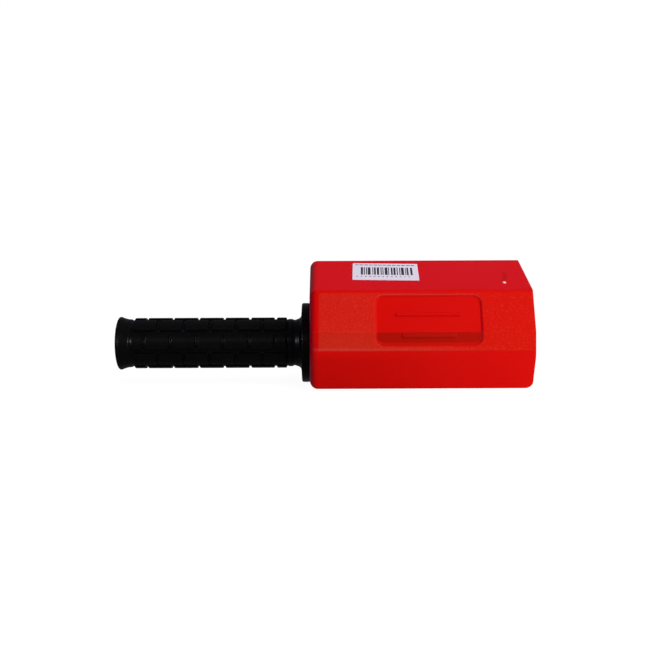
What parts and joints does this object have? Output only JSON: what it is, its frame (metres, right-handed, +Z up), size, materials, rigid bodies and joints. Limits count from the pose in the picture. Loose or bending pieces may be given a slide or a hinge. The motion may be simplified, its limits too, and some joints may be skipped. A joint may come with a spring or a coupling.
{
  "type": "hooded rotary brush handle",
  "caption": "Drill-driven rotary brush handle: faceted guard hood, open below and at one end, on a ribbed rubber grip with a free-turning socketed spindle.",
  "frame": {"origin": "centre of the grip's flat rear end face, on the spindle's axis", "axes": "+X along the spindle from the grip to the hood's open end, +Z up through the hood's ridge, +Y to the left when looking along +X; the sunk panel is on the -Y side"},
  "size_m": [0.289, 0.119, 0.088],
  "materials": {
    "red_plastic": "semi-gloss moulded red, finely grained on the shoulders",
    "black_rubber": "satin moulded black rubber",
    "label_paper": "coated white label paper",
    "aluminium": "turned, clear anodised",
    "plated_steel": "zinc plated",
    "bearing_steel": "ground and polished",
    "spring_steel": "black phosphated",
    "grey_plastic": "moulded nylon",
    "seal_rubber": "matt black rubber"
  },
  "bodies": {
    "handle": {"guard_hood": "red_plastic", "barcode_label": "label_paper", "rubber_grip": "black_rubber", "handle_tube": "aluminium", "clamp_ring": "plated_steel", "tube_plug": "grey_plastic", "flange_screw_1": "plated_steel", "flange_screw_2": "plated_steel", "flange_screw_3": "plated_steel", "flange_screw_4": "plated_steel", "outer_spacer": "aluminium", "front_circlip": "spring_steel", "front_outer_race": "bearing_steel", "rear_outer_race": "bearing_steel", "front_seal_a": "seal_rubber", "front_seal_b": "seal_rubber", "rear_seal_a": "seal_rubber", "rear_seal_b": "seal_rubber"},
    "spindle_assembly": {"spindle": "plated_steel", "inner_spacer": "aluminium", "shaft_circlip": "spring_steel", "front_inner_race": "bearing_steel", "rear_inner_race": "bearing_steel"},
    "front_ball_row": {"front_cage": "grey_plastic", "front_ball_1": "bearing_steel", "front_ball_2": "bearing_steel", "front_ball_3": "bearing_steel", "front_ball_4": "bearing_steel", "front_ball_5": "bearing_steel", "front_ball_6": "bearing_steel", "front_ball_7": "bearing_steel", "front_ball_8": "bearing_steel", "front_ball_9": "bearing_steel", "front_ball_10": "bearing_steel"},
    "rear_ball_row": {"rear_cage": "grey_plastic", "rear_ball_1": "bearing_steel", "rear_ball_2": "bearing_steel", "rear_ball_3": "bearing_steel", "rear_ball_4": "bearing_steel", "rear_ball_5": "bearing_steel", "rear_ball_6": "bearing_steel", "rear_ball_7": "bearing_steel", "rear_ball_8": "bearing_steel", "rear_ball_9": "bearing_steel", "rear_ball_10": "bearing_steel"}
  },
  "joints": [
    {"name": "spindle_spin", "type": "hinge", "parent": "handle", "child": "spindle_assembly", "pos_m": [0.1385, 0, 0], "axis": [1, 0, 0], "continuous": true},
    {"name": "front_balls_roll", "type": "hinge", "parent": "handle", "child": "front_ball_row", "pos_m": [0.1385, 0, 0], "axis": [1, 0, 0], "continuous": true},
    {"name": "rear_balls_roll", "type": "hinge", "parent": "handle", "child": "rear_ball_row", "pos_m": [0.1385, 0, 0], "axis": [1, 0, 0], "continuous": true}
  ],
  "couplings": [
    {"joint": "front_balls_roll", "follows": "spindle_spin", "ratio": 0.418},
    {"joint": "rear_balls_roll", "follows": "spindle_spin", "ratio": 0.418}
  ]
}
